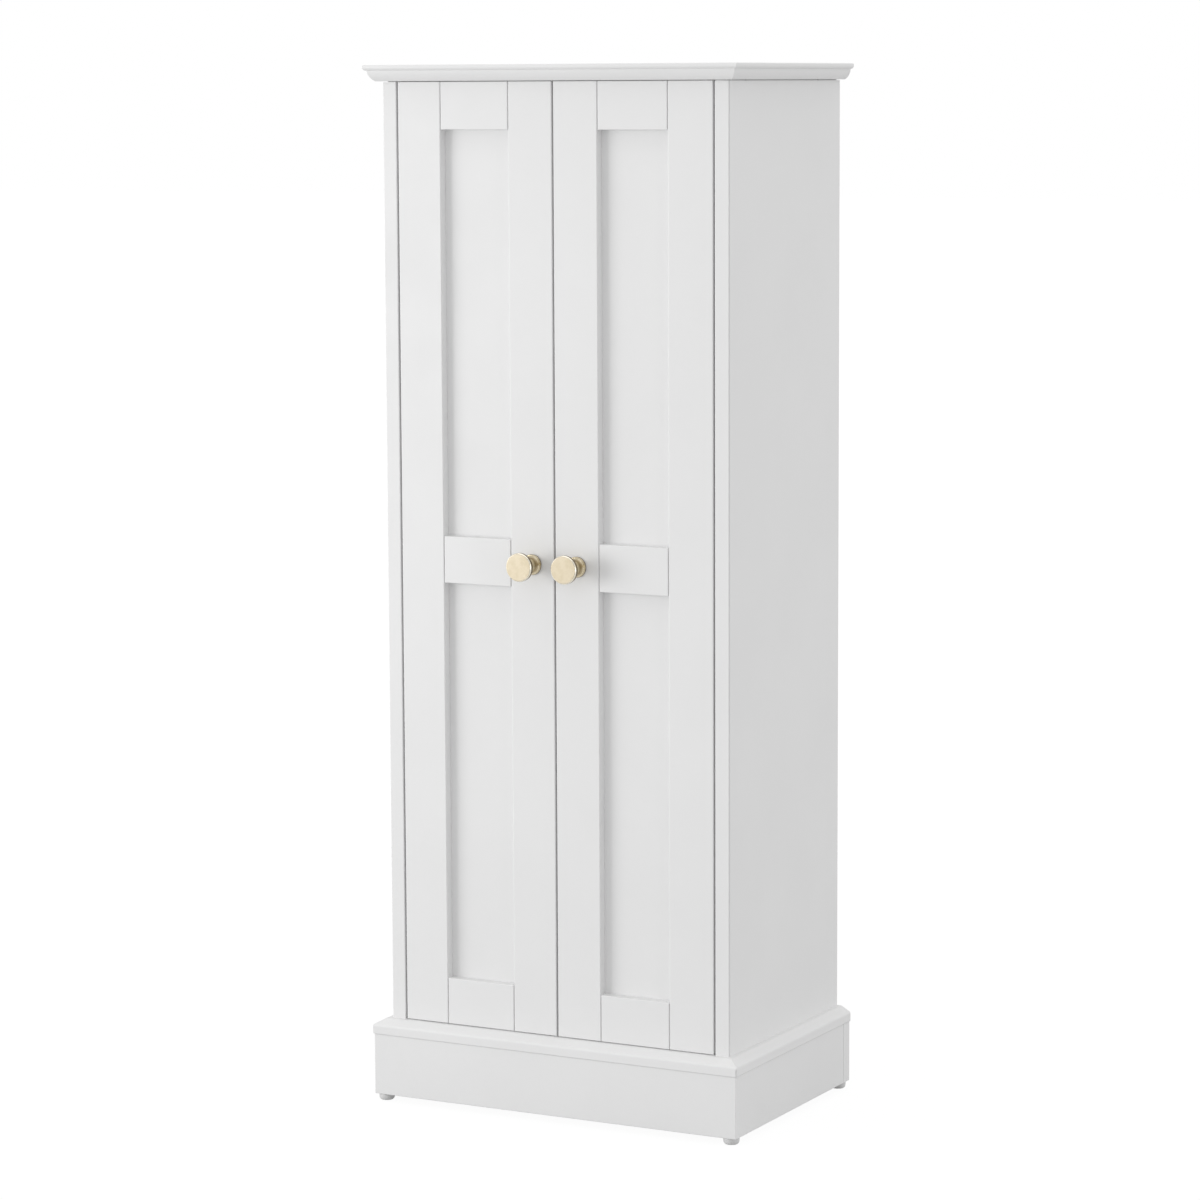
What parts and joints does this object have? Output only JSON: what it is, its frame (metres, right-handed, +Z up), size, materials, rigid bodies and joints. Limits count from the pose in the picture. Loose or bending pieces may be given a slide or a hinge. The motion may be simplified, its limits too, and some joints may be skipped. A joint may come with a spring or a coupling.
{
  "type": "bathroom cabinet",
  "caption": "Tall narrow bathroom cabinet with framed recessed-panel doors, round knobs, a cornice top, a moulded plinth on small glides, and shelves inside.",
  "frame": {"origin": "on the floor under the middle of the whole object, knobs included", "axes": "+Z up, -Y out of the doors, +X to the right of someone facing the doors"},
  "size_m": [0.412, 0.284, 1.05],
  "materials": {
    "white_paint": "satin white paint on fibreboard",
    "white_board": "white faced board",
    "knob_brass": "satin pale brass",
    "white_plastic": "matt white",
    "plated_steel": "nickel plated",
    "cast_zinc": "bare casting",
    "bare_wood": "unfinished"
  },
  "bodies": {
    "cabinet": {"arm_screws": "plated_steel", "back_panel": "white_board", "bottom_board": "white_paint", "cam_bolts": "cast_zinc", "cam_locks": "cast_zinc", "catch_housings": "white_plastic", "catch_magnets": "plated_steel", "catch_screws": "plated_steel", "dowels": "bare_wood", "fixed_shelf": "white_board", "hinge_plates": "plated_steel", "left_back_foot": "white_plastic", "left_front_foot": "white_plastic", "left_hinge_arms": "plated_steel", "left_plinth_side": "white_paint", "left_side_panel": "white_paint", "lower_shelf": "white_board", "plate_screws": "plated_steel", "plinth_back": "white_paint", "plinth_corner_blocks": "bare_wood", "plinth_front": "white_paint", "plinth_screws": "plated_steel", "right_back_foot": "white_plastic", "right_front_foot": "white_plastic", "right_hinge_arms": "plated_steel", "right_plinth_side": "white_paint", "right_side_panel": "white_paint", "shelf_pins": "white_plastic", "top_board": "white_paint", "upper_shelf": "white_board", "wall_rail": "white_board"},
    "left_door": {"left_door_bottom_rail": "white_paint", "left_door_inner_stile": "white_paint", "left_door_lower_panel": "white_paint", "left_door_middle_rail": "white_paint", "left_door_outer_stile": "white_paint", "left_door_screws": "plated_steel", "left_door_top_rail": "white_paint", "left_door_upper_panel": "white_paint", "left_hinge_cups": "plated_steel", "left_hinge_pins": "plated_steel", "left_knob": "knob_brass", "left_knob_screw": "plated_steel", "left_strike_plate": "plated_steel"},
    "right_door": {"right_door_bottom_rail": "white_paint", "right_door_inner_stile": "white_paint", "right_door_lower_panel": "white_paint", "right_door_middle_rail": "white_paint", "right_door_outer_stile": "white_paint", "right_door_screws": "plated_steel", "right_door_top_rail": "white_paint", "right_door_upper_panel": "white_paint", "right_hinge_cups": "plated_steel", "right_hinge_pins": "plated_steel", "right_knob": "knob_brass", "right_knob_screw": "plated_steel", "right_strike_plate": "plated_steel"}
  },
  "joints": [
    {"name": "left_door_hinge", "type": "hinge", "parent": "cabinet", "child": "left_door", "pos_m": [-0.1545, -0.1051, 0.5595], "axis": [0, 0, -1], "range_deg": [0, 95]},
    {"name": "right_door_hinge", "type": "hinge", "parent": "cabinet", "child": "right_door", "pos_m": [0.1545, -0.1051, 0.5595], "axis": [0, 0, 1], "range_deg": [0, 95]}
  ]
}
